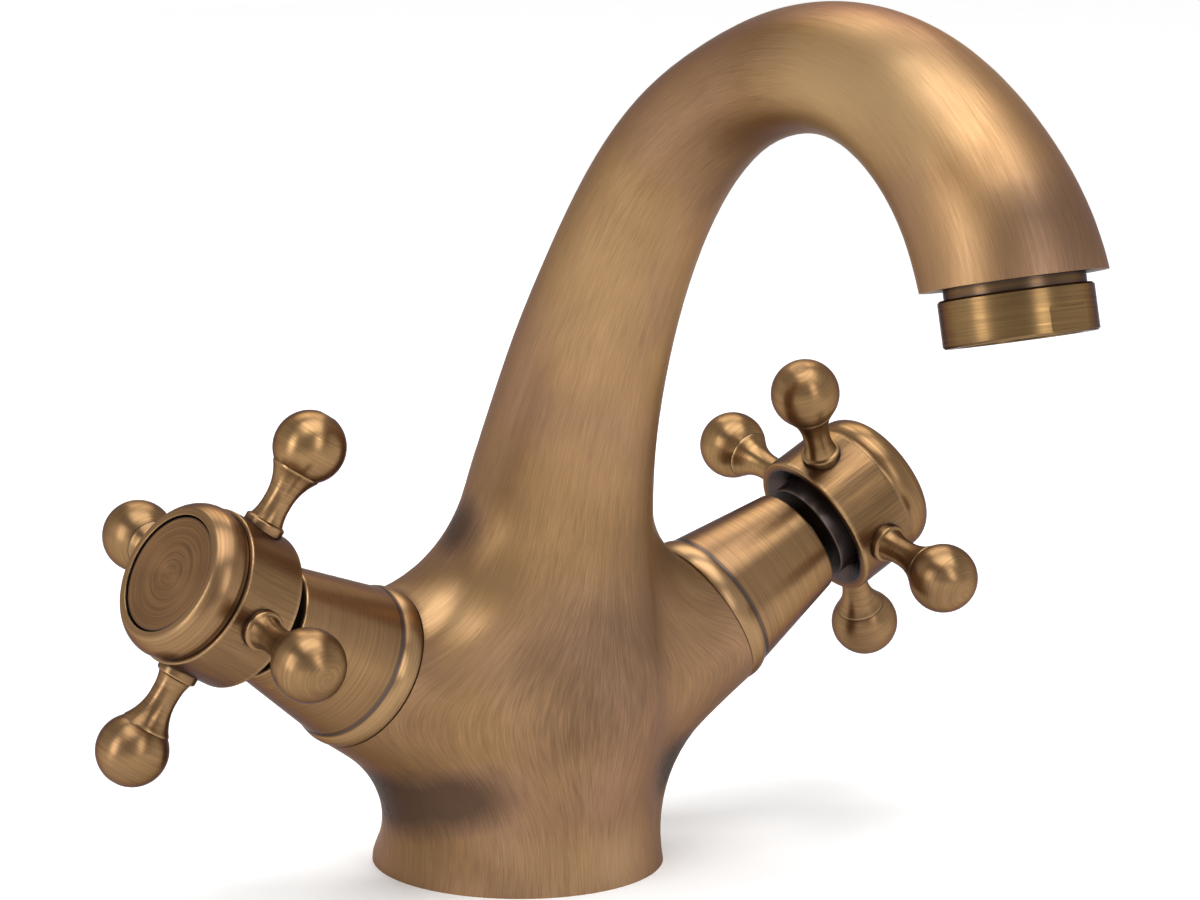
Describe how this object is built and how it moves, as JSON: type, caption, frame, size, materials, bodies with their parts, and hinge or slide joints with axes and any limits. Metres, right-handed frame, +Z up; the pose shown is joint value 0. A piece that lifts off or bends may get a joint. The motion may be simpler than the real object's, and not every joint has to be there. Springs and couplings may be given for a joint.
{
  "type": "cross handle mixer tap",
  "caption": "Basin mixer tap with a swan-neck spout, two quarter-turn cross handles with ball-ended spokes and an aerator, in brushed antique brass.",
  "frame": {"origin": "centre of the foot's underside, on the surface that the tap stands on", "axes": "+Z up, spout towards -Y, valves and handles towards -X and +X"},
  "size_m": [0.1747, 0.1728, 0.1619],
  "materials": {
    "body_brass": "antique brushed brass, brushed along the spout",
    "sleeve_brass": "antique brushed brass, brushed round the axis",
    "hub_brass": "antique brushed brass",
    "spoke_brass": "antique brushed brass, turned",
    "cap_brass": "antique brushed brass, turned",
    "disc_brass": "antique brushed brass, concentric brushing",
    "aerator_brass": "antique brushed brass, turned",
    "valve_brass": "machined brass",
    "spring_steel": "machined",
    "seal_rubber": "matt",
    "insert_plastic": "moulded",
    "valve_ceramic": "polished"
  },
  "bodies": {
    "body": {"tap_body": "body_brass", "base_seal": "seal_rubber", "left_valve_cartridge": "valve_brass", "left_cartridge_o_ring": "seal_rubber", "left_seat_seal": "seal_rubber", "left_fixed_disc": "valve_ceramic", "left_valve_sleeve": "sleeve_brass", "right_valve_cartridge": "valve_brass", "right_cartridge_o_ring": "seal_rubber", "right_seat_seal": "seal_rubber", "right_fixed_disc": "valve_ceramic", "right_valve_sleeve": "sleeve_brass", "aerator_housing": "aerator_brass", "aerator_insert": "insert_plastic", "aerator_washer": "seal_rubber"},
    "left_handle": {"left_moving_disc": "valve_ceramic", "left_spindle": "valve_brass", "left_stem_o_ring": "seal_rubber", "left_stem_clip": "spring_steel", "left_handle_hub": "hub_brass", "left_spoke_1": "spoke_brass", "left_spoke_2": "spoke_brass", "left_spoke_3": "spoke_brass", "left_spoke_4": "spoke_brass", "left_handle_screw": "spring_steel", "left_index_cap": "cap_brass", "left_index_disc": "disc_brass"},
    "right_handle": {"right_moving_disc": "valve_ceramic", "right_spindle": "valve_brass", "right_stem_o_ring": "seal_rubber", "right_stem_clip": "spring_steel", "right_handle_hub": "hub_brass", "right_spoke_1": "spoke_brass", "right_spoke_2": "spoke_brass", "right_spoke_3": "spoke_brass", "right_spoke_4": "spoke_brass", "right_handle_screw": "spring_steel", "right_index_cap": "cap_brass", "right_index_disc": "disc_brass"}
  },
  "joints": [
    {"name": "left_handle_turn", "type": "hinge", "parent": "body", "child": "left_handle", "pos_m": [0, -0.0025, 0.021], "axis": [-0.8728, -0.0645, 0.4838], "range_deg": [0, 90]},
    {"name": "right_handle_turn", "type": "hinge", "parent": "body", "child": "right_handle", "pos_m": [0, -0.0025, 0.021], "axis": [0.8728, -0.0645, 0.4838], "range_deg": [-90, 0]}
  ]
}
